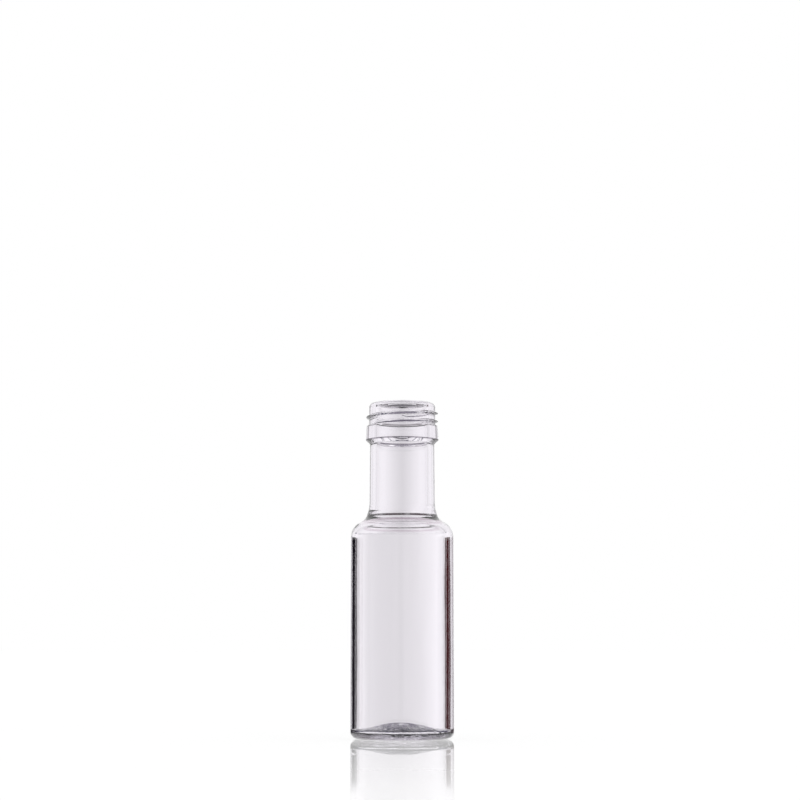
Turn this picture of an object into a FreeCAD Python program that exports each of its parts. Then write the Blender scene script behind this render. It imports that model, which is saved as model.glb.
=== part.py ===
import FreeCAD, Part
import os

import Sketcher

# Clear glass oil bottle for 100 ml with a 31.5 mm screw finish, blown in one piece.
# The origin is on the floor in the middle of the base, +Z runs up the axis and -Y is the front.

# Driving sizes in millimetres. Heights run up from the floor and depths run down from the lip.
SIZES = (
    ("overallHeight", 138.5, "floor to lip"),
    ("bodyDiameter", 42.6, "outside of the straight side"),
    ("sideHeight", 86.35, "where the side would meet the slope of the shoulder"),
    ("heelFillet", 3.0, "rounding from the side to the bearing ring"),
    ("bearingWidth", 1.7, "flat ring on which the bottle stands"),
    ("stepRise", 0.8, "height of the step inside the bearing ring"),
    ("stepRun", 0.8, "width of that step"),
    ("stepFillet", 0.5, "roundings of the step"),
    ("puntHeight", 2.3, "push-up of the base at the axis"),
    ("shoulderRise", 3.7, "height of the shoulder's slope"),
    ("shoulderCrown", 6.6, "rounding of the shoulder's edge"),
    ("rootDiameter", 27.74, "finish between the turns of the thread"),
    ("neckInset", 0.45, "how far the neck under the bead lies inside the root of the finish"),
    ("neckTaper", 0.2, "how much the neck's radius grows down to its foot"),
    ("flareRun", 1.61, "how much the flare adds to the radius of the neck's foot"),
    ("neckRootFillet", 3.5, "hollow between the slope and the flare"),
    ("flareRise", 4.5, "height of the flare"),
    ("flareFillet", 14.0, "blend of the flare into the neck"),
    ("beadDepth", 17.15, "foot of the bead"),
    ("beadUnderRise", 1.6, "height of the bead's slanted underside"),
    ("beadHeight", 1.33, "how far the bead's widest part stands out from the root of the finish"),
    ("beadDraft", 0.4, "how much the bead's radius falls up to its top edge"),
    ("beadTopDepth", 9.6, "top edge of the bead"),
    ("beadTopRise", 0.35, "slant of the bead's top"),
    ("beadFillet", 0.45, "rounding of the bead's edges"),
    ("lipFillet", 1.8, "outer rounding of the lip"),
    ("bodyWall", 2.15, "glass of the straight side"),
    ("floorHeight", 6.4, "top of the domed floor inside"),
    ("floorEdgeHeight", 2.0, "where the floor would meet the wall inside"),
    ("floorFillet", 2.6, "rounding of the inner heel"),
    ("crownDrop", 1.4, "how far the cavity's shoulder lies under the outer one at the side"),
    ("innerCrownFillet", 5.0, "rounding inside the shoulder's edge"),
    ("neckRootWall", 2.83, "glass at the root of the neck"),
    ("neckRootDrop", 0.45, "how far the cavity's shoulder lies under the outer one at the neck"),
    ("throatFillet", 5.0, "rounding inside the root of the neck"),
    ("neckWall", 3.02, "glass at the foot of the neck"),
    ("boreRise", 3.35, "how far above the shoulder's slope the bore begins"),
    ("boreFillet", 3.0, "rounding where the bore begins"),
    ("lipWall", 3.37, "glass of the finish at the lip"),
    ("mouthFillet", 0.7, "inner rounding of the lip"),
    ("threadHeight", 1.18, "how far the crest of the thread stands out from the root of the finish"),
    ("threadWidth", 2.4, "thread at its root"),
    ("crestRadius", 0.62, "round crest of the thread"),
    ("threadPitch", 3.4, "rise of one turn"),
    ("threadTurns", 1.5, "turns of full height"),
    ("threadDepth", 8.78, "middle of the thread where its full height begins"),
    ("threadStart", -120.0, "angle of that place from +X in degrees"),
    ("fadeTurns", 0.17, "turns over which each end of the thread sinks into the wall"),
    ("fadeDepth", 0.1, "how far the crest lies under the wall at the end of a fade"),
    ("weldDepth", 0.6, "how far the thread's section reaches into the wall"),
    ("sectionOverrun", 2.0, "how far the cavity's section runs past the lip"),
)

doc = FreeCAD.newDocument("GlassBottle")
sheet = doc.addObject("Spreadsheet::Sheet", "Sizes")
for row, (alias, value, meaning) in enumerate(SIZES, start=1):
    sheet.set(f"A{row}", meaning)
    sheet.set(f"B{row}", str(value))
    sheet.setAlias(f"B{row}", alias)
doc.recompute()


class Measure:
    """A length that holds its value and the expression that it comes from."""

    def __init__(self, value, text):
        self.value = value
        self.text = text

    def __add__(self, other):
        return Measure(self.value + other.value, f"({self.text} + {other.text})")

    def __sub__(self, other):
        return Measure(self.value - other.value, f"({self.text} - {other.text})")

    def __mul__(self, other):
        return Measure(self.value * other.value, f"{self.text} * {other.text}")

    def __truediv__(self, other):
        return Measure(self.value / other.value, f"{self.text} / {other.text}")

    def __neg__(self):
        return Measure(-self.value, f"-{self.text}")


def plain(value):
    return Measure(value, str(value))


def size(alias):
    return Measure(float(sheet.get(alias)), f"Sizes.{alias}")


def radius(alias):
    return size(alias) / plain(2)


def fromLip(alias):
    return size("overallHeight") - size(alias)


NOTHING = plain(0)


# Helpers: a section is drawn in the half plane through the axis, with x as radius and y as height.

def originItem(body, role):
    return next(item for item in body.Origin.OriginFeatures if item.Role == role)


def axialSketch(body, name):
    sketch = body.newObject("Sketcher::SketchObject", name)
    sketch.AttachmentSupport = [(originItem(body, "XZ_Plane"), "")]
    sketch.MapMode = "FlatFace"
    return sketch


def hold(sketch, kind, piece, point, measure):
    """Dimensions a point from the origin, or puts it on the axis or the floor."""
    if measure is NOTHING:
        line = -2 if kind == "DistanceX" else -1
        sketch.addConstraint(Sketcher.Constraint("PointOnObject", piece, point, line))
    else:
        index = sketch.addConstraint(Sketcher.Constraint(kind, -1, 1, piece, point, measure.value))
        sketch.setExpression(f"Constraints[{index}]", measure.text)


def domeArc(edge, crown):
    """An arc centred on the axis, from its edge up to its crown."""
    rise = crown.y - edge.y
    bend = (edge.x ** 2 + rise ** 2) / (2 * rise)
    centre = FreeCAD.Vector(0, crown.y - bend, 0)
    start = FreeCAD.Vector(1, 0, 0).getAngle(edge - centre)
    circle = Part.Circle(centre, FreeCAD.Vector(0, 0, 1), bend)
    return Part.ArcOfCircle(circle, start, FreeCAD.Vector(1, 0, 0).getAngle(crown - centre))


def outline(sketch, corners, domeLine):
    """Draws a closed section through its corners, with one of its lines as a dome."""
    count = len(corners)
    for line in range(count):
        here, ahead = (
            FreeCAD.Vector(across.value, up.value, 0)
            for across, up in (corners[line], corners[(line + 1) % count])
        )
        sketch.addGeometry(domeArc(here, ahead) if line == domeLine else Part.LineSegment(here, ahead))
    for line in range(count):
        sketch.addConstraint(Sketcher.Constraint("Coincident", line, 2, (line + 1) % count, 1))
    sketch.addConstraint(Sketcher.Constraint("PointOnObject", domeLine, 3, -2))
    for line, (across, up) in enumerate(corners):
        before = corners[line - 1]
        if line > 0 and across is not NOTHING and before[0].text == across.text:
            sketch.addConstraint(Sketcher.Constraint("Vertical", line - 1))
        else:
            hold(sketch, "DistanceX", line, 1, across)
        if line > 0 and up is not NOTHING and before[1].text == up.text:
            sketch.addConstraint(Sketcher.Constraint("Horizontal", line - 1))
        else:
            hold(sketch, "DistanceY", line, 1, up)


def rimAt(shape, across, up):
    """The name of the round edge about the axis that has this radius and height."""
    for index, edge in enumerate(shape.Edges, start=1):
        if edge.Degenerated or not isinstance(edge.Curve, Part.Circle):
            continue
        miss = abs(edge.Curve.Radius - across.value) + abs(edge.Curve.Center.z - up.value)
        if miss < 1e-4:
            return f"Edge{index}"
    raise ValueError(f"no rim at radius {across.value:.2f}, height {up.value:.2f}")


def roundRim(body, name, corner, fillet):
    base = body.Tip
    feature = body.newObject("PartDesign::Fillet", name)
    feature.Base = (base, [rimAt(base.Shape, *corner)])
    feature.setExpression("Radius", fillet.text)
    doc.recompute()


# Radii and heights from which the corners are taken.
side = radius("bodyDiameter")
ringOuter = side - size("heelFillet")
ringInner = ringOuter - size("bearingWidth")
finishRoot = radius("rootDiameter")
threadCrest = finishRoot + size("threadHeight")
beadRim = finishRoot + size("beadHeight")
neckTopRadius = finishRoot - size("neckInset")
neckFootRadius = neckTopRadius + size("neckTaper")
neckRootRadius = neckFootRadius + size("flareRun")
neckRootHeight = size("sideHeight") + size("shoulderRise")
neckFootHeight = neckRootHeight + size("flareRise")

# Corners of the outside.
lipCorner = (finishRoot, size("overallHeight"))
beadSeat = (finishRoot, fromLip("beadTopDepth") + size("beadTopRise"))
beadTop = (beadRim - size("beadDraft"), fromLip("beadTopDepth"))
beadEdge = (beadRim, fromLip("beadDepth") + size("beadUnderRise"))
beadFoot = (neckTopRadius, fromLip("beadDepth"))
neckFoot = (neckFootRadius, neckFootHeight)
neckRoot = (neckRootRadius, neckRootHeight)
crown = (side, size("sideHeight"))
heel = (side, NOTHING)
ringEdge = (ringInner, NOTHING)
stepTop = (ringInner - size("stepRun"), size("stepRise"))
puntCrown = (NOTHING, size("puntHeight"))

# Corners of the cavity.
cavitySide = side - size("bodyWall")
mouth = (finishRoot - size("lipWall"), size("overallHeight"))
boreFoot = (neckFootRadius - size("neckWall"), neckRootHeight + size("boreRise"))
throat = (neckRootRadius - size("neckRootWall"), neckRootHeight - size("neckRootDrop"))
cavityCrown = (cavitySide, size("sideHeight") - size("crownDrop"))
floorEdge = (cavitySide, size("floorEdgeHeight"))
floorCrown = (NOTHING, size("floorHeight"))


def makeOutside(body):
    """The bottle as a solid glass form: finish, neck, shoulder, side and pushed-up base."""
    sketch = axialSketch(body, "OutsideSection")
    top = (NOTHING, size("overallHeight"))
    corners = [
        top, lipCorner, beadSeat, beadTop, beadEdge, beadFoot, neckFoot, neckRoot, crown,
        heel, ringEdge, stepTop, puntCrown,
    ]
    outline(sketch, corners, corners.index(stepTop))
    revolution = body.newObject("PartDesign::Revolution", "Outside")
    revolution.Profile = sketch
    revolution.ReferenceAxis = (sketch, ["V_Axis"])
    revolution.Angle = 360
    doc.recompute()


def roundOutside(body):
    roundRim(body, "LipRounding", lipCorner, size("lipFillet"))
    roundRim(body, "BeadTopRounding", beadTop, size("beadFillet"))
    roundRim(body, "BeadEdgeRounding", beadEdge, size("beadFillet"))
    roundRim(body, "BeadFootRounding", beadFoot, size("beadFillet"))
    roundRim(body, "FlareRounding", neckFoot, size("flareFillet"))
    roundRim(body, "NeckRootRounding", neckRoot, size("neckRootFillet"))
    roundRim(body, "ShoulderRounding", crown, size("shoulderCrown"))
    roundRim(body, "HeelRounding", heel, size("heelFillet"))
    roundRim(body, "RingRounding", ringEdge, size("stepFillet"))
    roundRim(body, "PuntRounding", stepTop, size("stepFillet"))


def makeCavity(body):
    """The space for the oil, blown up to the lip, with a domed floor over the push-up."""
    sketch = axialSketch(body, "CavitySection")
    past = size("overallHeight") + size("sectionOverrun")
    corners = [
        (NOTHING, past), (mouth[0], past), mouth, boreFoot, throat, cavityCrown, floorEdge, floorCrown,
    ]
    outline(sketch, corners, corners.index(floorEdge))
    solid = body.Tip.Shape.Volume
    groove = body.newObject("PartDesign::Groove", "Cavity")
    groove.Profile = sketch
    groove.ReferenceAxis = (sketch, ["V_Axis"])
    groove.Angle = 360
    doc.recompute()
    if groove.Shape.Volume > 0.9 * solid:
        raise ValueError("the cavity cut too little")


def roundCavity(body):
    roundRim(body, "InnerHeelRounding", floorEdge, size("floorFillet"))
    roundRim(body, "InnerCrownRounding", cavityCrown, size("innerCrownFillet"))
    roundRim(body, "ThroatRounding", throat, size("throatFillet"))
    roundRim(body, "BoreRounding", boreFoot, size("boreFillet"))
    roundRim(body, "MouthRounding", mouth, size("mouthFillet"))


def threadSection(body, name, turn, up, sink):
    """The thread's section at an angle about the axis, sunk into the wall by a given depth."""
    sketch = axialSketch(body, name)
    axis = FreeCAD.Vector(0, 1, 0)
    sketch.AttachmentOffset = FreeCAD.Placement(FreeCAD.Vector(), FreeCAD.Rotation(axis, turn.value))
    sketch.setExpression("AttachmentOffset.Rotation.Angle", f"({turn.text}) * 1 deg")
    root = finishRoot - sink
    inner = root - size("weldDepth")
    low = up - size("threadWidth") / plain(2)
    high = up + size("threadWidth") / plain(2)
    crest = size("crestRadius")
    centre = threadCrest - crest - sink

    def at(across, height):
        return FreeCAD.Vector(across.value, height.value, 0)

    circle = Part.Circle(at(centre, up), FreeCAD.Vector(0, 0, 1), crest.value)
    arc = Part.ArcOfCircle(circle, -1, 1)
    sketch.addGeometry([
        Part.LineSegment(at(inner, high), at(inner, low)),
        Part.LineSegment(at(inner, low), at(root, low)),
        Part.LineSegment(at(root, low), arc.StartPoint),
        arc,
        Part.LineSegment(arc.EndPoint, at(root, high)),
        Part.LineSegment(at(root, high), at(inner, high)),
    ])
    sketch.addConstraint([
        Sketcher.Constraint("Coincident", 0, 2, 1, 1),
        Sketcher.Constraint("Coincident", 1, 2, 2, 1),
        Sketcher.Constraint("Tangent", 2, 2, 3, 1),
        Sketcher.Constraint("Tangent", 3, 2, 4, 1),
        Sketcher.Constraint("Coincident", 4, 2, 5, 1),
        Sketcher.Constraint("Coincident", 5, 2, 0, 1),
        Sketcher.Constraint("Vertical", 0),
        Sketcher.Constraint("Horizontal", 1),
        Sketcher.Constraint("Horizontal", 5),
    ])
    hold(sketch, "DistanceX", 1, 1, inner)
    hold(sketch, "DistanceY", 1, 1, low)
    hold(sketch, "DistanceX", 2, 1, root)
    hold(sketch, "DistanceX", 5, 1, root)
    hold(sketch, "DistanceY", 5, 1, high)
    hold(sketch, "DistanceX", 3, 3, centre)
    hold(sketch, "DistanceY", 3, 3, up)
    index = sketch.addConstraint(Sketcher.Constraint("Radius", 3, crest.value))
    sketch.setExpression(f"Constraints[{index}]", crest.text)
    return sketch


def threadRun(body, name, start, turns, sink, growth):
    """A stretch of the right-handed thread; its radius grows by a given length in each turn."""
    turn = size("threadStart") + start * plain(360)
    up = fromLip("threadDepth") + start * size("threadPitch")
    sketch = threadSection(body, f"{name}Section", turn, up, sink)
    doc.recompute()
    run = body.newObject("PartDesign::AdditiveHelix", name)
    run.Profile = sketch
    run.ReferenceAxis = (sketch, ["V_Axis"])
    run.Mode = "height-turns-growth"
    run.setExpression("Height", (turns * size("threadPitch")).text)
    run.setExpression("Turns", turns.text)
    run.setExpression("Growth", growth.text)
    doc.recompute()


def makeThread(body):
    """One and a half turns of full height, with a fade into the wall at each end."""
    fade = size("fadeTurns")
    turns = size("threadTurns")
    sunk = size("threadHeight") + size("fadeDepth")
    threadRun(body, "ThreadRiseIn", -fade, fade, sunk, sunk / fade)
    threadRun(body, "Thread", NOTHING, turns, NOTHING, NOTHING)
    threadRun(body, "ThreadFadeOut", turns, fade, NOTHING, -sunk / fade)


def makeBottle():
    body = doc.addObject("PartDesign::Body", "Bottle")
    body.Label = "bottle"
    makeOutside(body)
    roundOutside(body)
    makeCavity(body)
    roundCavity(body)
    makeThread(body)
    body.Placement = FreeCAD.Placement()
    return body


parts = [makeBottle()]
doc.recompute()

for item in doc.Objects:
    if "Invalid" in item.State or "Error" in item.State:
        raise ValueError(f"{item.Name} failed: {item.State}")
for part in parts:
    if part.Shape.isNull() or not part.Shape.isValid():
        raise ValueError(f"{part.Label} has no valid shape")

os.makedirs("parts", exist_ok=True)
for part in parts:
    part.Shape.exportStep(f"parts/{part.Label}.step")
    print(part.Label, f"{part.Shape.Volume:.1f} mm3")
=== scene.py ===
import math

import bpy
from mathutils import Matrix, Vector


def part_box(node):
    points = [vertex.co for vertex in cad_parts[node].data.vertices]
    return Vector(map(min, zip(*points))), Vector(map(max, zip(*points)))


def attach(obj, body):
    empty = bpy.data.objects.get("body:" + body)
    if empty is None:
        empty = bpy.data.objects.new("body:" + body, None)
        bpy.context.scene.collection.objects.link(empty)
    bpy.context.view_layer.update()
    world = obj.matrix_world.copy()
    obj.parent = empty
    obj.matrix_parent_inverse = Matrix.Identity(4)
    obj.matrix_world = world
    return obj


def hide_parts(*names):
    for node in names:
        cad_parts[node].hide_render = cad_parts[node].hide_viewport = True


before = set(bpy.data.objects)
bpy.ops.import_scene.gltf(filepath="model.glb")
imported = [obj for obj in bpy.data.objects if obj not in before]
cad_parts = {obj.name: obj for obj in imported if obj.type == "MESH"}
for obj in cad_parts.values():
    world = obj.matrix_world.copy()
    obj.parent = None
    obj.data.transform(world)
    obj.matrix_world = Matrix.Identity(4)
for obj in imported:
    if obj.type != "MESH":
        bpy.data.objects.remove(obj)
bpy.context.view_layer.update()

high = Vector(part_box("bottle")[1])  # the bottle's highest corner, in metres
mm = 0.001  # every size below is in millimetres, and every angle in degrees
print("frame loaded, the bottle is", round(high.z / mm, 2), "mm high")


def addNode(tree, kind, values=None, **settings):  # values are sockets to link or plain inputs to set
    node = tree.nodes.new(kind)
    for name, value in settings.items():
        setattr(node, name, value)
    for key, value in (values or {}).items():
        if isinstance(value, bpy.types.NodeSocket):
            tree.links.new(value, node.inputs[key])
        else:
            node.inputs[key].default_value = value
    return node


def calc(tree, operation, *terms, clamp=False):  # one step of arithmetic, as a socket
    node = addNode(tree, "ShaderNodeMath", dict(enumerate(terms)), operation=operation, use_clamp=clamp)
    return node.outputs[0]


def product(tree, first, *others):
    for other in others:
        first = calc(tree, "MULTIPLY", first, other)
    return first


def vectorCalc(tree, operation, first, second=(0.0, 0.0, 0.0)):
    return addNode(tree, "ShaderNodeVectorMath", {0: first, 1: second}, operation=operation).outputs[0]


def vectorScale(tree, vector, factor):
    return addNode(tree, "ShaderNodeVectorMath", {0: vector, "Scale": factor}, operation="SCALE").outputs[0]


def ramp(tree, value, start, end, toLow=0.0, toHigh=1.0):  # smooth step between two values
    return addNode(tree, "ShaderNodeMapRange", {"Value": value, "From Min": start, "From Max": end,
                   "To Min": toLow, "To Max": toHigh}, interpolation_type="SMOOTHSTEP").outputs[0]


def within(tree, value, start, end, soft):  # 1 between start and end, with soft edges
    rise = ramp(tree, value, start - soft, start + soft)
    return product(tree, rise, ramp(tree, value, end - soft, end + soft, 1.0, 0.0))


def bellCurve(tree, away, halfWidth):  # 1 in the middle, easing to 0 at the half width
    share = calc(tree, "DIVIDE", away, halfWidth, clamp=True)
    wave = calc(tree, "COSINE", product(tree, share, math.pi))
    return product(tree, calc(tree, "ADD", wave, 1.0), 0.5)


def mixColour(tree, factor, first, second):
    node = addNode(tree, "ShaderNodeMix", {0: factor}, data_type="RGBA")
    for slot, value in ((6, first), (7, second)):
        if isinstance(value, bpy.types.NodeSocket):
            tree.links.new(value, node.inputs[slot])
        else:
            node.inputs[slot].default_value = (*value, 1.0)
    return node.outputs[2]


glassSizes = {
    "heel": 3.0, "ringWidth": 1.7, "stepRise": 0.8, "stepRun": 0.8, "stepRound": 0.5, "punt": 2.3,
    "sideTop": 86.35, "shoulderRise": 3.7, "shoulderRound": 6.6, "neckRoot": 15.23, "rootRound": 3.5,
    "flareRise": 4.5, "neckFoot": 13.62, "flareRound": 14.0, "neckTop": 13.42,
    "beadFoot": 17.15, "beadUnder": 1.6, "bead": 15.2, "beadTop": 14.8, "beadTopDepth": 9.6,
    "beadTopRise": 0.35, "beadRound": 0.45, "root": 13.87, "threadFootRound": 0.2, "lipRound": 1.8,
    "wall": 2.15, "floor": 6.4, "floorEdge": 2.0, "floorRound": 2.6, "crownDrop": 1.4, "crownRound": 5.0,
    "throat": 12.4, "throatDrop": 0.45, "throatRound": 5.0,
    "bore": 10.6, "boreRise": 3.35, "boreRound": 3.0, "mouth": 10.5, "mouthRound": 0.7,
    "plainGap": 2.0, "longGap": 4.0, "ringGap": 0.4, "beadGap": 0.2, "threadGap": 0.13,  # rows of the mesh
    "wallGap": 1.6, "domeGap": 0.45, "creaseGap": 0.15,
    "domeSteps": 10, "roundSteps": 10, "columns": 216, "pathRadius": 10.0, "weld": 0.002,
}


def domeCorners(edge, crown, steps):  # from the edge of a shallow dome to its crown on the axis
    rise = crown - edge[1]
    bend = (edge[0] ** 2 + rise ** 2) / (2 * rise)
    corners = []
    for step in range(steps):
        across = edge[0] * (1 - step / steps)
        corners.append((across, crown - bend + math.sqrt(bend ** 2 - across ** 2)))
    return corners + [(0.0, crown)]


def outsideCorners(s):  # radius, height, rounding and row gap, from the axis up to the lip
    top = high.z / mm
    side = high.x / mm
    shoulderTop = s["sideTop"] + s["shoulderRise"]
    ringInner = side - s["heel"] - s["ringWidth"]
    step = (ringInner - s["stepRun"], s["stepRise"])
    gap, longGap = s["plainGap"], s["longGap"]
    dome = domeCorners(step, s["punt"], s["domeSteps"])[:0:-1]
    corners = [(*spot, 0.0, s["domeGap"]) for spot in dome]
    return corners + [
        (*step, s["stepRound"], gap),
        (ringInner, 0.0, s["stepRound"], s["ringGap"]),
        (side, 0.0, s["heel"], longGap),
        (side, s["sideTop"], s["shoulderRound"], gap),
        (s["neckRoot"], shoulderTop, s["rootRound"], s["creaseGap"]),
        (s["neckFoot"], shoulderTop + s["flareRise"], s["flareRound"], longGap),
        (s["neckTop"], top - s["beadFoot"], s["beadRound"], gap),
        (s["bead"], top - s["beadFoot"] + s["beadUnder"], s["beadRound"], gap),
        (s["beadTop"], top - s["beadTopDepth"], s["beadRound"], s["beadGap"]),
        (s["root"], top - s["beadTopDepth"] + s["beadTopRise"], s["threadFootRound"], s["threadGap"]),
        (s["root"], top, s["lipRound"], gap),
    ]


def insideCorners(s):  # the same for the cavity, from the mouth down to the axis
    cavity = high.x / mm - s["wall"]
    shoulderTop = s["sideTop"] + s["shoulderRise"]
    gap = s["plainGap"]
    corners = [
        (s["mouth"], high.z / mm, s["mouthRound"], gap),
        (s["bore"], shoulderTop + s["boreRise"], s["boreRound"], gap),
        (s["throat"], shoulderTop - s["throatDrop"], s["throatRound"], gap),
        (cavity, s["sideTop"] - s["crownDrop"], s["crownRound"], s["wallGap"]),
    ]
    edge, *dome = domeCorners((cavity, s["floorEdge"]), s["floor"], s["domeSteps"])
    corners.append((*edge, s["floorRound"], s["domeGap"]))
    return corners + [(*spot, 0.0, s["domeGap"]) for spot in dome]


def makeSection(s):
    outside, inside = outsideCorners(s), insideCorners(s)
    corners = outside + inside
    mesh = bpy.data.meshes.new("glassSection")
    points = [(across * mm, 0.0, up * mm) for across, up, rounding, gap in corners]
    mesh.from_pydata(points, [(n, n + 1) for n in range(len(points) - 1)], [])
    columns = {
        "rounding": [rounding * mm for across, up, rounding, gap in corners],
        "rowGap": [gap * mm for across, up, rounding, gap in corners],
        "inside": [0.0] * len(outside) + [1.0] * len(inside),
    }
    for name, values in columns.items():
        mesh.attributes.new(name, "FLOAT", "POINT").data.foreach_set("value", values)
    print("section of", len(points), "corners")
    return bpy.data.objects.new("glassBottle", mesh)


def namedValue(tree, name):
    return addNode(tree, "GeometryNodeInputNamedAttribute", {"Name": name}, data_type="FLOAT").outputs[0]


def position(tree):
    return addNode(tree, "GeometryNodeInputPosition").outputs[0]


def roundRows(tree, section):  # rounds each corner and cuts the long runs into rows
    s = glassSizes
    curve = addNode(tree, "GeometryNodeMeshToCurve", {"Mesh": section}).outputs[0]
    rounded = addNode(tree, "GeometryNodeFilletCurve", {
        "Curve": curve, "Count": s["roundSteps"], "Radius": namedValue(tree, "rounding"),
        "Limit Radius": True}, mode="POLY").outputs[0]
    here = position(tree)
    index = addNode(tree, "GeometryNodeInputIndex").outputs[0]
    nextPoint = addNode(tree, "GeometryNodeOffsetPointInCurve", {"Point Index": index, "Offset": 1})
    lookUp = {"Value": here, "Index": nextPoint.outputs["Point Index"]}
    ahead = addNode(tree, "GeometryNodeFieldAtIndex", lookUp, data_type="FLOAT_VECTOR", domain="POINT")
    span = addNode(tree, "ShaderNodeVectorMath", {0: here, 1: ahead.outputs[0]}, operation="DISTANCE")
    cuts = calc(tree, "FLOOR", calc(tree, "DIVIDE", span.outputs["Value"], namedValue(tree, "rowGap")))
    return addNode(tree, "GeometryNodeSubdivideCurve", {"Curve": rounded, "Cuts": cuts}).outputs[0]


def revolve(tree, rows, columns):  # turns the section about the axis and welds it shut
    pathRadius = glassSizes["pathRadius"] * mm
    split = addNode(tree, "ShaderNodeSeparateXYZ", {0: position(tree)})
    flat = addNode(tree, "ShaderNodeCombineXYZ", {
        "X": calc(tree, "SUBTRACT", split.outputs["X"], pathRadius),
        "Y": product(tree, split.outputs["Z"], -1.0)}).outputs[0]
    profile = addNode(tree, "GeometryNodeSetPosition", {"Geometry": rows, "Position": flat}).outputs[0]
    ring = {"Resolution": columns, "Radius": pathRadius}
    circle = addNode(tree, "GeometryNodeCurvePrimitiveCircle", ring, mode="RADIUS").outputs[0]
    path = addNode(tree, "GeometryNodeSetCurveNormal", {"Curve": circle}, mode="Z_UP").outputs[0]
    turned = addNode(tree, "GeometryNodeCurveToMesh", {"Curve": path, "Profile Curve": profile}).outputs[0]
    outward = addNode(tree, "GeometryNodeFlipFaces", {"Mesh": turned}).outputs[0]
    weld = {"Geometry": outward, "Distance": glassSizes["weld"] * mm}
    return addNode(tree, "GeometryNodeMergeByDistance", weld).outputs[0]


def polar(tree):  # radius, angle and height of a point
    split = addNode(tree, "ShaderNodeSeparateXYZ", {0: position(tree)})
    x, y, z = (split.outputs[axis] for axis in "XYZ")
    across = calc(tree, "SQRT", calc(tree, "ADD", product(tree, x, x), product(tree, y, y)))
    return across, calc(tree, "ARCTAN2", y, x), z


def outsideMask(tree):
    return calc(tree, "LESS_THAN", namedValue(tree, "inside"), 0.5)


def moveOut(tree, shape, chosen, across, newAcross):  # moves chosen points to a new radius
    growth = calc(tree, "DIVIDE", newAcross, calc(tree, "MAXIMUM", across, 0.01 * mm))  # never by zero
    stretch = addNode(tree, "ShaderNodeCombineXYZ", {"X": growth, "Y": growth, "Z": 1.0}).outputs[0]
    moved = vectorCalc(tree, "MULTIPLY", position(tree), stretch)
    return addNode(tree, "GeometryNodeSetPosition", {"Geometry": shape, "Selection": chosen,
                   "Position": moved}).outputs[0]


def moveUp(tree, shape, lift):
    offset = addNode(tree, "ShaderNodeCombineXYZ", {"Z": lift}).outputs[0]
    return addNode(tree, "GeometryNodeSetPosition", {"Geometry": shape, "Offset": offset}).outputs[0]


def seededNoise(tree, spot, size, seed, detail):  # from about -1 to 1
    noise = addNode(tree, "ShaderNodeTexNoise", {"Vector": spot, "Scale": calc(tree, "DIVIDE", 1.0, size),
                    "W": seed, "Detail": detail}, noise_dimensions="4D").outputs["Fac"]
    return product(tree, calc(tree, "SUBTRACT", noise, 0.5), 2.0)


def cellDistance(tree, spot):
    cells = addNode(tree, "ShaderNodeTexVoronoi", {"Vector": spot, "Scale": 1.0}, feature="F1")
    return cells.outputs["Distance"]


threadSizes = {
    "height": 1.18, "halfWidth": 1.42, "pitch": 3.4, "turns": 1.5, "depth": 8.78, "startAngle": -120.0,
    "fadeTurns": 0.17, "sink": 1.6,
}


def addThread(tree, shape, ins):  # a ridge along a right-handed helix, which sinks away at both ends
    across, angle, up = polar(tree)
    turn = calc(tree, "DIVIDE", calc(tree, "SUBTRACT", angle, ins["Thread Start Angle"]), 2 * math.pi)
    climb = calc(tree, "SUBTRACT", up, ins["Thread Start Height"])
    climbed = calc(tree, "DIVIDE", climb, ins["Thread Pitch"])
    along = calc(tree, "ADD", calc(tree, "ROUND", calc(tree, "SUBTRACT", climbed, turn)), turn)
    away = product(tree, calc(tree, "SUBTRACT", climbed, along), ins["Thread Pitch"])
    away = calc(tree, "ABSOLUTE", away)
    fadeIn = ramp(tree, along, product(tree, ins["Thread Fade"], -1.0), 0.0)
    finish = calc(tree, "ADD", ins["Thread Turns"], ins["Thread Fade"])
    fadeOut = ramp(tree, along, ins["Thread Turns"], finish, 1.0, 0.0)
    strength = product(tree, bellCurve(tree, away, ins["Thread Half Width"]), fadeIn, fadeOut)
    rise = product(tree, strength, calc(tree, "ADD", ins["Thread Height"], ins["Thread Sink"]))
    surface = calc(tree, "ADD", calc(tree, "SUBTRACT", ins["Root Radius"], ins["Thread Sink"]), rise)
    chosen = product(tree, outsideMask(tree), calc(tree, "GREATER_THAN", strength, 0.001))
    return moveOut(tree, shape, chosen, across, calc(tree, "MAXIMUM", across, surface))


knurlSizes = {
    "count": 36.0, "depth": 0.28, "reach": 18.9, "edge": 16.4, "skew": 0.5,
    "innerFade": 0.6, "outerFade": 0.8, "fullBelow": 0.8, "noneAbove": 1.6, "notchFrom": -0.3, "notchTo": 0.6,
}


def addKnurls(tree, shape, ins):  # slanting notches round the ring that the bottle stands on
    s = knurlSizes
    across, angle, up = polar(tree)
    slant = product(tree, across, ins["Knurl Slant"])
    wave = calc(tree, "COSINE", calc(tree, "ADD", product(tree, angle, ins["Knurls"]), slant))
    notch = ramp(tree, wave, s["notchFrom"], s["notchTo"])
    innerEnd = calc(tree, "ADD", ins["Knurl Inner Radius"], s["innerFade"] * mm)
    inner = ramp(tree, across, ins["Knurl Inner Radius"], innerEnd)
    outerStart = calc(tree, "SUBTRACT", ins["Knurl Outer Radius"], s["outerFade"] * mm)
    outer = ramp(tree, across, outerStart, ins["Knurl Outer Radius"], 1.0, 0.0)
    lowDown = ramp(tree, up, s["fullBelow"] * mm, s["noneAbove"] * mm, 1.0, 0.0)
    mask = product(tree, inner, outer, lowDown, outsideMask(tree))
    return moveUp(tree, shape, product(tree, notch, mask, ins["Knurl Depth"]))


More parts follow.
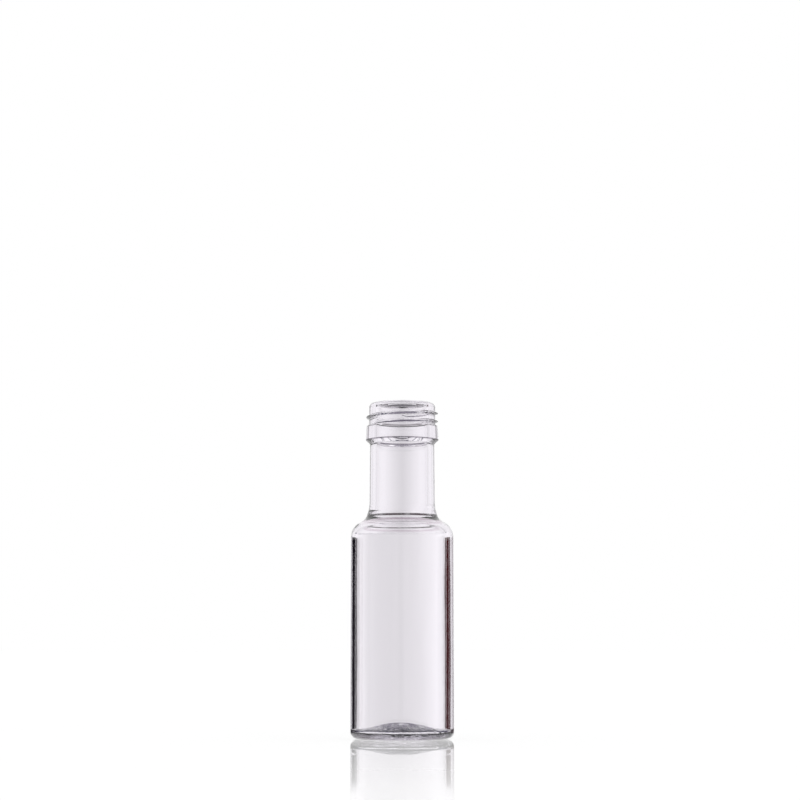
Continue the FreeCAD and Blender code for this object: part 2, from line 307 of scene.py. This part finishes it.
grainSizes = {
    "depth": 0.12, "size": 1.2, "reach": 16.5, "reachFade": 1.5, "top": 3.2,
    "flakeDepth": 0.30, "spokes": 12.0, "run": 4.5, "cellMiddle": 0.4, "floorTop": 8.0,
}


def addGrain(tree, shape, ins):  # fine stippling under the push-up, and long flakes in the floor inside
    s = grainSizes
    across, angle, up = polar(tree)
    inside = namedValue(tree, "inside")
    fine = seededNoise(tree, position(tree), ins["Grain Size"], ins["Seed"], 1.0)
    ray = addNode(tree, "ShaderNodeCombineXYZ", {
        "X": product(tree, calc(tree, "COSINE", angle), ins["Flake Spokes"]),
        "Y": product(tree, calc(tree, "SINE", angle), ins["Flake Spokes"]),
        "Z": calc(tree, "DIVIDE", across, ins["Flake Run"])}).outputs[0]
    flake = calc(tree, "SUBTRACT", cellDistance(tree, ray), s["cellMiddle"])
    fadeStart = calc(tree, "SUBTRACT", ins["Grain Reach"], s["reachFade"] * mm)
    nearAxis = ramp(tree, across, fadeStart, ins["Grain Reach"], 1.0, 0.0)
    under = product(tree, nearAxis, calc(tree, "SUBTRACT", 1.0, inside),
                    calc(tree, "LESS_THAN", up, ins["Grain Top"]))
    floor = product(tree, nearAxis, inside, calc(tree, "LESS_THAN", up, s["floorTop"] * mm))
    lift = calc(tree, "ADD", product(tree, fine, under, ins["Grain Depth"]),
                product(tree, flake, floor, ins["Flake Depth"]))
    return moveUp(tree, shape, lift)


creaseSizes = {
    "line": 91.2, "lineDepth": 0.06, "lineWidth": 0.5, "fold": 89.3, "foldDepth": 0.05, "foldWidth": 0.8,
}


def addCreases(tree, shape, ins):  # two shallow rings pressed in at the root of the neck
    across, angle, up = polar(tree)
    depth = 0.0
    for ring in ("Line", "Fold"):
        away = calc(tree, "ABSOLUTE", calc(tree, "SUBTRACT", up, ins[ring + " Height"]))
        groove = product(tree, bellCurve(tree, away, ins[ring + " Width"]), ins[ring + " Depth"])
        depth = calc(tree, "ADD", groove, depth)
    change = product(tree, depth, outsideMask(tree))
    chosen = calc(tree, "GREATER_THAN", change, 0.0)
    return moveOut(tree, shape, chosen, across, calc(tree, "SUBTRACT", across, change))


unevenSizes = {
    "side": 0.45, "ripple": 0.12, "size": 22.0, "drawn": 0.35, "from": 86.0, "to": 98.0, "seed": 4.3,
}


def addUnevenWall(tree, shape, ins):  # the blown inside lies a little off centre and ripples
    across, angle, up = polar(tree)
    drawn = vectorCalc(tree, "MULTIPLY", position(tree), (1.0, 1.0, unevenSizes["drawn"]))
    ripple = product(tree, seededNoise(tree, drawn, ins["Ripple Size"], ins["Seed"], 2.0), ins["Ripple"])
    shift = product(tree, calc(tree, "COSINE", angle), ins["Cavity Shift"])
    crown = ramp(tree, up, ins["Uneven From"], ins["Uneven To"], 1.0, 0.0)
    change = product(tree, calc(tree, "SUBTRACT", ripple, shift), crown, namedValue(tree, "inside"))
    return moveOut(tree, shape, True, across, calc(tree, "ADD", across, change))


def glassInputs(material):
    s, t, k = glassSizes, threadSizes, knurlSizes
    g, c, u = grainSizes, creaseSizes, unevenSizes
    return {
        "Columns": s["columns"], "Root Radius": s["root"] * mm, "Thread Height": t["height"] * mm,
        "Thread Half Width": t["halfWidth"] * mm, "Thread Pitch": t["pitch"] * mm,
        "Thread Turns": t["turns"], "Thread Start Height": high.z - t["depth"] * mm,
        "Thread Start Angle": math.radians(t["startAngle"]),
        "Thread Fade": t["fadeTurns"], "Thread Sink": t["sink"] * mm, "Knurls": k["count"],
        "Knurl Depth": k["depth"] * mm, "Knurl Slant": k["skew"] / mm, "Knurl Inner Radius": k["edge"] * mm,
        "Knurl Outer Radius": k["reach"] * mm, "Grain Depth": g["depth"] * mm, "Grain Size": g["size"] * mm,
        "Grain Reach": g["reach"] * mm, "Grain Top": g["top"] * mm, "Flake Depth": g["flakeDepth"] * mm,
        "Flake Spokes": g["spokes"], "Flake Run": g["run"] * mm, "Line Height": c["line"] * mm,
        "Line Depth": c["lineDepth"] * mm, "Line Width": c["lineWidth"] * mm, "Fold Height": c["fold"] * mm,
        "Fold Depth": c["foldDepth"] * mm, "Fold Width": c["foldWidth"] * mm,
        "Cavity Shift": u["side"] * mm, "Ripple": u["ripple"] * mm, "Ripple Size": u["size"] * mm,
        "Uneven From": u["from"] * mm, "Uneven To": u["to"] * mm, "Seed": u["seed"], "Material": material,
    }


def glassTree(values):
    tree = bpy.data.node_groups.new("blownGlass", "GeometryNodeTree")
    kinds = {int: "NodeSocketInt", float: "NodeSocketFloat"}
    tree.interface.new_socket("Section", in_out="INPUT", socket_type="NodeSocketGeometry")
    for name, value in values.items():
        kind = kinds.get(type(value), "NodeSocketMaterial")
        tree.interface.new_socket(name, in_out="INPUT", socket_type=kind)
    tree.interface.new_socket("Glass", in_out="OUTPUT", socket_type="NodeSocketGeometry")
    ins = addNode(tree, "NodeGroupInput").outputs
    shape = revolve(tree, roundRows(tree, ins["Section"]), ins["Columns"])
    for addDetail in (addThread, addKnurls, addGrain, addCreases, addUnevenWall):
        shape = addDetail(tree, shape, ins)
    smooth = addNode(tree, "GeometryNodeSetShadeSmooth", {"Geometry": shape, "Shade Smooth": True})
    real = addNode(tree, "GeometryNodeRealizeInstances", {"Geometry": smooth.outputs[0]}).outputs[0]
    done = addNode(tree, "GeometryNodeSetMaterial", {"Geometry": real, "Material": ins["Material"]})
    addNode(tree, "NodeGroupOutput", {"Glass": done.outputs[0]})
    return tree


def setInputs(modifier, values):  # by each socket's identifier
    for item in modifier.node_group.interface.items_tree:
        if item.item_type == "SOCKET" and item.in_out == "INPUT" and item.name in values:
            modifier[item.identifier] = values[item.name]


def makeBottle(material):
    piece = makeSection(glassSizes)
    bpy.context.collection.objects.link(piece)
    values = glassInputs(material)
    modifier = piece.modifiers.new("blownGlass", "NODES")
    modifier.node_group = glassTree(values)
    setInputs(modifier, values)
    bpy.context.view_layer.update()
    evaluated = piece.evaluated_get(bpy.context.evaluated_depsgraph_get())
    mesh = bpy.data.meshes.new_from_object(evaluated)
    piece.modifiers.clear()
    piece.data = mesh
    mesh.calc_loop_triangles()
    print("bottle:", len(mesh.vertices), "points,", len(mesh.loop_triangles), "triangles")
    return piece


glassLook = {
    "ior": 1.52, "tint": (0.93, 0.915, 0.94), "density": 60.0, "waveSize": 5.0, "wave": 0.003,
    "haze": 0.012, "hazeFrom": 0.45, "hazeTo": 0.75,
    "flakes": 13.0, "flakeRun": 4.0, "flake": 0.10, "flakeTop": 6.0, "flakeFade": 2.0, "flakeReach": 18.3,
    "flakeEdge": 1.0,
    # the flecks, lines and rings below are painted reflections: dark colours put into the glass in place of
    # refracted dark surroundings
    "flecks": 12.0, "fleckRun": 4.0, "fleckFoot": 2.5, "fleckTop": 7.0, "fleckFrom": 0.28, "fleckTo": 0.80,
    "fleckPaintedReflection": (0.06, 0.055, 0.12),
    "lineInner": 14.0, "lineFrom": 0.25, "lineTo": 0.5, "lineWeakest": 0.7,
    "neckLine": 91.2, "neckLineWidth": 0.50, "neckPaintedReflection": (0.004, 0.001, 0.002),
    "foldLine": 89.3, "foldLineWidth": 0.60, "foldPaintedReflection": (0.55, 0.46, 0.52),
    "beadLine": 122.9, "beadLineWidth": 0.28, "beadPaintedReflection": (0.16, 0.14, 0.17),
    "heelLine": 2.6, "heelLineWidth": 0.34, "heelLineSoft": 0.2, "heelPaintedReflection": (0.006, 0.005, 0.012),
    "heelSway": 1.0, "heelInner": 20.0, "heelStrength": 0.9,
    "edgeInner": 17.9, "edgeOuter": 19.7, "edgeFoot": 1.4, "edgeTop": 3.2, "edgeSoft": 0.3,
    "edgeFrom": 0.1, "edgeTo": 0.5, "edgeWeakest": 0.35, "edgePaintedReflection": (0.06, 0.05, 0.10),
}


def radialCells(tree, flat, across, spokes, run):  # long cells that spread from the axis
    ray = vectorScale(tree, vectorCalc(tree, "NORMALIZE", flat), spokes)
    along = addNode(tree, "ShaderNodeCombineXYZ", {"Z": calc(tree, "DIVIDE", across, run * mm)}).outputs[0]
    return cellDistance(tree, vectorCalc(tree, "ADD", ray, along))


def paintedReflectionRings(tree, up, across, wave):  # painted reflections: thin dark rings at the root of the neck, its fold and the bead, put into the glass colour in place of refracted dark surroundings
    s = glassLook
    outer = calc(tree, "GREATER_THAN", across, s["lineInner"] * mm)
    uneven = ramp(tree, wave, s["lineFrom"], s["lineTo"], s["lineWeakest"], 1.0)
    colour = (1.0, 1.0, 1.0)
    for name in ("neck", "fold", "bead"):
        middle, width = s[name + "Line"] * mm, s[name + "LineWidth"] * mm
        line = within(tree, up, middle - width, middle + width, width * 0.5)
        colour = mixColour(tree, product(tree, line, outer, uneven), colour, s[name + "PaintedReflection"])
    return colour


def paintedFootReflections(tree, up, across, wave, colour, flakeCell, fleckCell):  # painted reflections at the foot: a dark ring at the heel, a dark ring at the edge, and dark flecks in the floor
    s = glassLook
    sway = product(tree, calc(tree, "SUBTRACT", wave, 0.5), s["heelSway"] * mm)
    # painted reflection: a dark ring round the heel
    heelLow, heelHigh = s["heelLine"] - s["heelLineWidth"], s["heelLine"] + s["heelLineWidth"]
    heel = within(tree, calc(tree, "ADD", up, sway), heelLow * mm, heelHigh * mm, s["heelLineSoft"] * mm)
    outer = calc(tree, "GREATER_THAN", across, s["heelInner"] * mm)
    heel = product(tree, heel, outer, s["heelStrength"])
    colour = mixColour(tree, heel, colour, s["heelPaintedReflection"])
    # painted reflection: a dark ring round the edge of the foot
    soft = s["edgeSoft"] * mm
    edge = product(tree, within(tree, across, s["edgeInner"] * mm, s["edgeOuter"] * mm, soft),
                   within(tree, up, s["edgeFoot"] * mm, s["edgeTop"] * mm, soft),
                   ramp(tree, flakeCell, s["edgeFrom"], s["edgeTo"], s["edgeWeakest"], 1.0))
    colour = mixColour(tree, edge, colour, s["edgePaintedReflection"])
    # painted reflection: dark flecks in the floor of the bottle
    floor = product(tree, within(tree, up, s["fleckFoot"] * mm, s["fleckTop"] * mm, soft),
                    calc(tree, "LESS_THAN", across, s["flakeReach"] * mm))
    fleck = ramp(tree, fleckCell, s["fleckFrom"], s["fleckTo"])
    return mixColour(tree, product(tree, floor, fleck), colour, s["fleckPaintedReflection"])


def makeGlass():
    s = glassLook
    material = bpy.data.materials.new("clearGlass")
    material.use_nodes = True
    tree = material.node_tree
    shader = tree.nodes["Principled BSDF"]
    shader.inputs["Transmission Weight"].default_value = 1.0
    shader.inputs["IOR"].default_value = s["ior"]
    here = addNode(tree, "ShaderNodeTexCoord").outputs["Object"]
    up = addNode(tree, "ShaderNodeSeparateXYZ", {0: here}).outputs["Z"]
    flat = vectorCalc(tree, "MULTIPLY", here, (1.0, 1.0, 0.0))
    across = addNode(tree, "ShaderNodeVectorMath", {0: flat}, operation="LENGTH").outputs["Value"]
    noise = {"Vector": here, "Scale": 1 / (s["waveSize"] * mm), "Detail": 3.0}
    wave = addNode(tree, "ShaderNodeTexNoise", noise).outputs["Fac"]
    flakeCell, fleckCell = (radialCells(tree, flat, across, s[name + "s"], s[name + "Run"])
                            for name in ("flake", "fleck"))
    foot = ramp(tree, up, s["flakeTop"] * mm, (s["flakeTop"] + s["flakeFade"]) * mm, s["flake"], 0.0)
    reach = ramp(tree, across, (s["flakeReach"] - s["flakeEdge"]) * mm, s["flakeReach"] * mm, 1.0, 0.0)
    height = calc(tree, "ADD", product(tree, wave, s["wave"]), product(tree, flakeCell, foot, reach))
    bump = addNode(tree, "ShaderNodeBump", {"Strength": 1.0, "Distance": 1 * mm, "Height": height})
    tree.links.new(bump.outputs[0], shader.inputs["Normal"])
    haze = ramp(tree, wave, s["hazeFrom"], s["hazeTo"], 0.0, s["haze"])
    tree.links.new(haze, shader.inputs["Roughness"])
    # the base colour carries painted reflections: dark rings and flecks in place of refracted dark
    # surroundings
    colour = paintedReflectionRings(tree, up, across, wave)
    colour = paintedFootReflections(tree, up, across, wave, colour, flakeCell, fleckCell)
    tree.links.new(colour, shader.inputs["Base Color"])
    body = addNode(tree, "ShaderNodeVolumeAbsorption", {"Color": (*s["tint"], 1), "Density": s["density"]})
    tree.links.new(body.outputs[0], tree.nodes["Material Output"].inputs["Volume"])
    print("glass ready")
    return material


cameraSizes = {
    "distance": 810.5, "side": -0.9, "height": 36.1, "pitch": 7.306, "lens": 87.75, "sensor": 36.0,
}


def makeCamera():
    s = cameraSizes
    data = bpy.data.cameras.new("camera")
    data.lens = s["lens"]
    data.sensor_width = s["sensor"]
    data.clip_start, data.clip_end = 0.01, 200.0
    camera = bpy.data.objects.new("camera", data)
    camera.location = (s["side"] * mm, -s["distance"] * mm, s["height"] * mm)
    camera.rotation_euler = (math.radians(90 + s["pitch"]), 0.0, 0.0)
    bpy.context.collection.objects.link(camera)
    bpy.context.scene.camera = camera


def compass(tree, direction):  # degrees to the side of +Y, the same unsigned and folded, and degrees up
    unit = vectorCalc(tree, "NORMALIZE", direction)
    split = addNode(tree, "ShaderNodeSeparateXYZ", {0: unit})
    x, y, z = (split.outputs[axis] for axis in "XYZ")
    azimuth = product(tree, calc(tree, "ARCTAN2", x, y), 180 / math.pi)
    aside = calc(tree, "ABSOLUTE", azimuth)
    folded = calc(tree, "PINGPONG", aside, 45.0)  # alike on all four sides
    return azimuth, aside, folded, product(tree, calc(tree, "ARCSINE", z), 180 / math.pi)


paperTint = (1.0, 0.968, 1.02)


def paperColour(tree, folded, s):  # darkest straight behind the bottle, paler to the sides
    return vectorScale(tree, paperTint, ramp(tree, folded, 0.0, s["spread"], s["middle"], s["edge"]))


def bouncedInWall(tree, path):  # light that didn't cross the cavity has passed fewer surfaces
    return calc(tree, "LESS_THAN", path.outputs["Transmission Depth"], 3.5)


tentLook = {
    "middle": 0.70, "edge": 0.99, "spread": 11.0,
    "highFrom": 37.5, "highTo": 40.5, "high": (0.12, 0.10, 0.15),
    "postTo": 64.0, "postSoft": 1.5, "backFrom": 22.5, "reflectFrom": 15.0, "reflectTo": 70.0,
    "coolFrom": 14.0, "warmFrom": 29.0, "coolBounce": 20.0, "warmBounce": 26.0,
    "postTop": 4.0, "postEdge": 0.3, "postFoot": -9.0, "postFade": 4.0,
    "coolPost": (0.010, 0.008, 0.012), "warmPost": (0.045, 0.003, 0.003),
}


def uprightMask(tree, level, path):  # the posts' height, hidden from the camera itself
    s = tentLook
    foot = ramp(tree, level, s["postFoot"], s["postFoot"] + s["postFade"])
    top = ramp(tree, level, s["postTop"] - s["postEdge"], s["postTop"] + s["postEdge"], 1.0, 0.0)
    return product(tree, foot, top, calc(tree, "SUBTRACT", 1.0, path.outputs["Is Camera Ray"]))


def postMask(tree, warm, aside, folded, path):  # where the posts show, across the cavity and in the wall
    s = tentLook
    end = ramp(tree, aside, s["postTo"], s["postTo"] + s["postSoft"], 1.0, 0.0)
    starts = [ramp(tree, warm, 0.0, 1.0, s["cool" + name], s["warm" + name]) for name in ("From", "Bounce")]
    front, bounced = (product(tree, calc(tree, "GREATER_THAN", aside, start), end) for start in starts)
    direct = calc(tree, "LESS_THAN", path.outputs["Glossy Depth"], 0.5)
    behind = ramp(tree, folded, s["backFrom"] - s["postSoft"], s["backFrom"] + s["postSoft"])
    inWall = bouncedInWall(tree, path)
    crossed = product(tree, calc(tree, "SUBTRACT", 1.0, inWall),
                      calc(tree, "MAXIMUM", front, product(tree, direct, behind)))
    return calc(tree, "MAXIMUM", crossed, product(tree, inWall, bounced))


def makeWorld():  # a white tent, with pale paper and dark posts that show only through or on the glass
    s = tentLook
    world = bpy.data.worlds.new("tent")
    bpy.context.scene.world = world
    world.use_nodes = True
    tree = world.node_tree
    azimuth, aside, folded, level = compass(tree, addNode(tree, "ShaderNodeTexCoord").outputs["Generated"])
    path = addNode(tree, "ShaderNodeLightPath")
    upright = uprightMask(tree, level, path)
    warm = calc(tree, "GREATER_THAN", azimuth, 0.0)
    postColour = mixColour(tree, warm, s["coolPost"], s["warmPost"])
    paper = paperColour(tree, folded, s)
    paper = mixColour(tree, ramp(tree, level, s["highFrom"], s["highTo"]), paper, s["high"])
    post = product(tree, postMask(tree, warm, aside, folded, path), upright)
    throughGlass = mixColour(tree, post, paper, postColour)
    side = within(tree, aside, s["reflectFrom"], s["reflectTo"], s["postSoft"])
    onGlass = mixColour(tree, product(tree, side, upright), (1.0, 1.0, 1.0), postColour)
    through = calc(tree, "GREATER_THAN", path.outputs["Transmission Depth"], 0.5)
    background = tree.nodes["Background"]
    tree.links.new(mixColour(tree, through, onGlass, throughGlass), background.inputs["Color"])
    background.inputs["Strength"].default_value = 1.0


def emptyMaterial(mesh, name):
    material = bpy.data.materials.new(name)
    material.use_nodes = True
    tree = material.node_tree
    tree.nodes.remove(tree.nodes["Principled BSDF"])
    mesh.materials.append(material)
    return tree


def setSurface(tree, shader, clearPart=None):  # clear where clearPart is 1
    if clearPart is not None:
        clear = addNode(tree, "ShaderNodeBsdfTransparent")
        sockets = {0: clearPart, 1: shader.outputs[0], 2: clear.outputs[0]}
        shader = addNode(tree, "ShaderNodeMixShader", sockets)
    tree.links.new(shader.outputs[0], tree.nodes["Material Output"].inputs["Surface"])


def makeHoop(name, first, second, count=96):  # first and second are radius and height of its two edges
    turns = [2 * math.pi * n / count for n in range(count)]
    points = [(math.cos(turn) * across * mm, math.sin(turn) * across * mm, up * mm)
              for across, up in (first, second) for turn in turns]
    faces = [(n, (n + 1) % count, count + (n + 1) % count, count + n) for n in range(count)]
    mesh = bpy.data.meshes.new(name)
    mesh.from_pydata(points, [], faces)
    card = bpy.data.objects.new(name, mesh)
    bpy.context.collection.objects.link(card)
    card.visible_camera = card.visible_diffuse = card.visible_glossy = card.visible_shadow = False
    return emptyMaterial(mesh, name)


collarSizes = {
    "away": 30.0, "foot": 89.6, "top": 146.0, "windowFoot": 134.0, "windowReach": 15.0,
    "middle": 0.70, "edge": 0.93, "spread": 27.0, "bandFoot": 129.5, "bandTop": 131.0, "bandSoft": 0.3,
    "bandReach": 35.0, "bandFade": 5.0, "rimFrom": 14.0, "rimTo": 26.0, "rimSoft": 2.0,
    "shade": (0.16, 0.14, 0.16),
}


def makeCollar():  # keeps the neck and shoulder pale, with a grey band and a window for the finish
    s = collarSizes
    tree = makeHoop("paleCollar", (s["away"], s["foot"]), (s["away"], s["top"]))
    here = addNode(tree, "ShaderNodeTexCoord").outputs["Object"]
    azimuth, aside, folded, level = compass(tree, here)
    up = addNode(tree, "ShaderNodeSeparateXYZ", {0: here}).outputs["Z"]
    rim = product(tree, bouncedInWall(tree, addNode(tree, "ShaderNodeLightPath")),
                  within(tree, aside, s["rimFrom"], s["rimTo"], s["rimSoft"]))
    band = product(tree, within(tree, up, s["bandFoot"] * mm, s["bandTop"] * mm, s["bandSoft"] * mm),
                   ramp(tree, aside, s["bandReach"] - s["bandFade"], s["bandReach"], 1.0, 0.0))
    colour = mixColour(tree, calc(tree, "MAXIMUM", rim, band), paperColour(tree, folded, s), s["shade"])
    window = product(tree, calc(tree, "GREATER_THAN", up, s["windowFoot"] * mm),
                     calc(tree, "LESS_THAN", folded, s["windowReach"]))
    setSurface(tree, addNode(tree, "ShaderNodeEmission", {"Color": colour}), window)


darkSizes = {
    "away": 600.0, "foot": 250.0, "top": 526.0, "count": 18.0, "stripeFrom": -1.0, "stripeTo": -0.7,
    "ink": (0.03, 0.025, 0.07), "underInner": 21.5, "underOuter": 30.0, "underDepth": 5.0,
}


def makeDarkHoop():  # darkens the lens of the bottle's floor, with narrow bright slits
    s = darkSizes
    tree = makeHoop("darkHoop", (s["away"], s["foot"]), (s["away"], s["top"]))
    azimuth, aside, folded, level = compass(tree, addNode(tree, "ShaderNodeTexCoord").outputs["Object"])
    wave = calc(tree, "COSINE", product(tree, azimuth, math.radians(s["count"])))
    stripes = ramp(tree, wave, s["stripeFrom"], s["stripeTo"])
    colour = mixColour(tree, stripes, (1.0, 1.0, 1.0), s["ink"])
    setSurface(tree, addNode(tree, "ShaderNodeEmission", {"Color": colour}))


def makeUnderRing():  # catches steep light below the foot
    s = darkSizes
    tree = makeHoop("underRing", (s["underInner"], -s["underDepth"]), (s["underOuter"], -s["underDepth"]))
    setSurface(tree, addNode(tree, "ShaderNodeEmission", {"Color": (*s["ink"], 1.0)}))


greySizes = {
    "away": 600.0, "foot": 208.0, "top": 240.0, "reach": 14.0, "fade": 2.0, "ink": (0.12, 0.11, 0.13),
}


def makeGreyHoop():  # darkens the lens of the mouth
    s = greySizes
    tree = makeHoop("greyHoop", (s["away"], s["foot"]), (s["away"], s["top"]))
    azimuth, aside, folded, level = compass(tree, addNode(tree, "ShaderNodeTexCoord").outputs["Object"])
    beyond = ramp(tree, folded, s["reach"] - s["fade"], s["reach"])
    setSurface(tree, addNode(tree, "ShaderNodeEmission", {"Color": (*s["ink"], 1.0)}), beyond)


floorLook = {
    "reach": 60.0, "mirror": 0.62, "farMirror": 0.2, "fadeFrom": 30.0, "fadeTo": 450.0, "roughness": 0.012,
    "matt": 0.3, "white": 0.92, "glow": 1.05,
}


def makeFloor():  # reach is in metres; the glass itself doesn't see the floor
    s = floorLook
    reach = s["reach"]
    mesh = bpy.data.meshes.new("floor")
    corners = [(-reach, -reach, 0), (reach, -reach, 0), (reach, reach, 0), (-reach, reach, 0)]
    mesh.from_pydata(corners, [], [(0, 1, 2, 3)])
    floor = bpy.data.objects.new("floor", mesh)
    bpy.context.collection.objects.link(floor)
    tree = emptyMaterial(mesh, "glossyWhite")
    here = addNode(tree, "ShaderNodeTexCoord").outputs["Object"]
    away = addNode(tree, "ShaderNodeVectorMath", {0: here}, operation="LENGTH").outputs["Value"]
    mirror = ramp(tree, away, s["fadeFrom"] * mm, s["fadeTo"] * mm, s["mirror"], s["farMirror"])
    glow = addNode(tree, "ShaderNodeEmission", {"Color": (1, 1, 1, 1), "Strength": s["glow"]})
    matt = addNode(tree, "ShaderNodeBsdfDiffuse", {"Color": (s["white"], s["white"], s["white"], 1)})
    plain = addNode(tree, "ShaderNodeMixShader", {0: s["matt"], 1: glow.outputs[0], 2: matt.outputs[0]})
    gloss = addNode(tree, "ShaderNodeBsdfGlossy", {"Color": (1, 1, 1, 1), "Roughness": s["roughness"]})
    surface = addNode(tree, "ShaderNodeMixShader", {0: mirror, 1: plain.outputs[0], 2: gloss.outputs[0]})
    cameraRay = addNode(tree, "ShaderNodeLightPath").outputs["Is Camera Ray"]
    setSurface(tree, surface, calc(tree, "SUBTRACT", 1.0, cameraRay))


keySizes = {"place": (0.9, -0.9, 1.3), "width": 0.5, "power": 0.6}


def makeSoftKey():  # one soft lamp; its place and width are in metres
    s = keySizes
    data = bpy.data.lights.new("softKey", "AREA")
    data.shape = "DISK"
    data.size = s["width"]
    data.energy = s["power"]
    light = bpy.data.objects.new("softKey", data)
    light.location = s["place"]
    aim = Vector((0, 0, high.z / 2)) - Vector(s["place"])
    light.rotation_euler = aim.to_track_quat("-Z", "Y").to_euler()
    bpy.context.collection.objects.link(light)


bpy.context.scene.view_settings.view_transform = "Standard"

bottle = makeBottle(makeGlass())
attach(bottle, "root")
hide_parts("bottle")

makeCamera()
makeWorld()
print("camera and tent ready")
makeFloor()
makeCollar()
makeDarkHoop()
makeUnderRing()
makeGreyHoop()
makeSoftKey()
print("floor, cards and lamp ready")
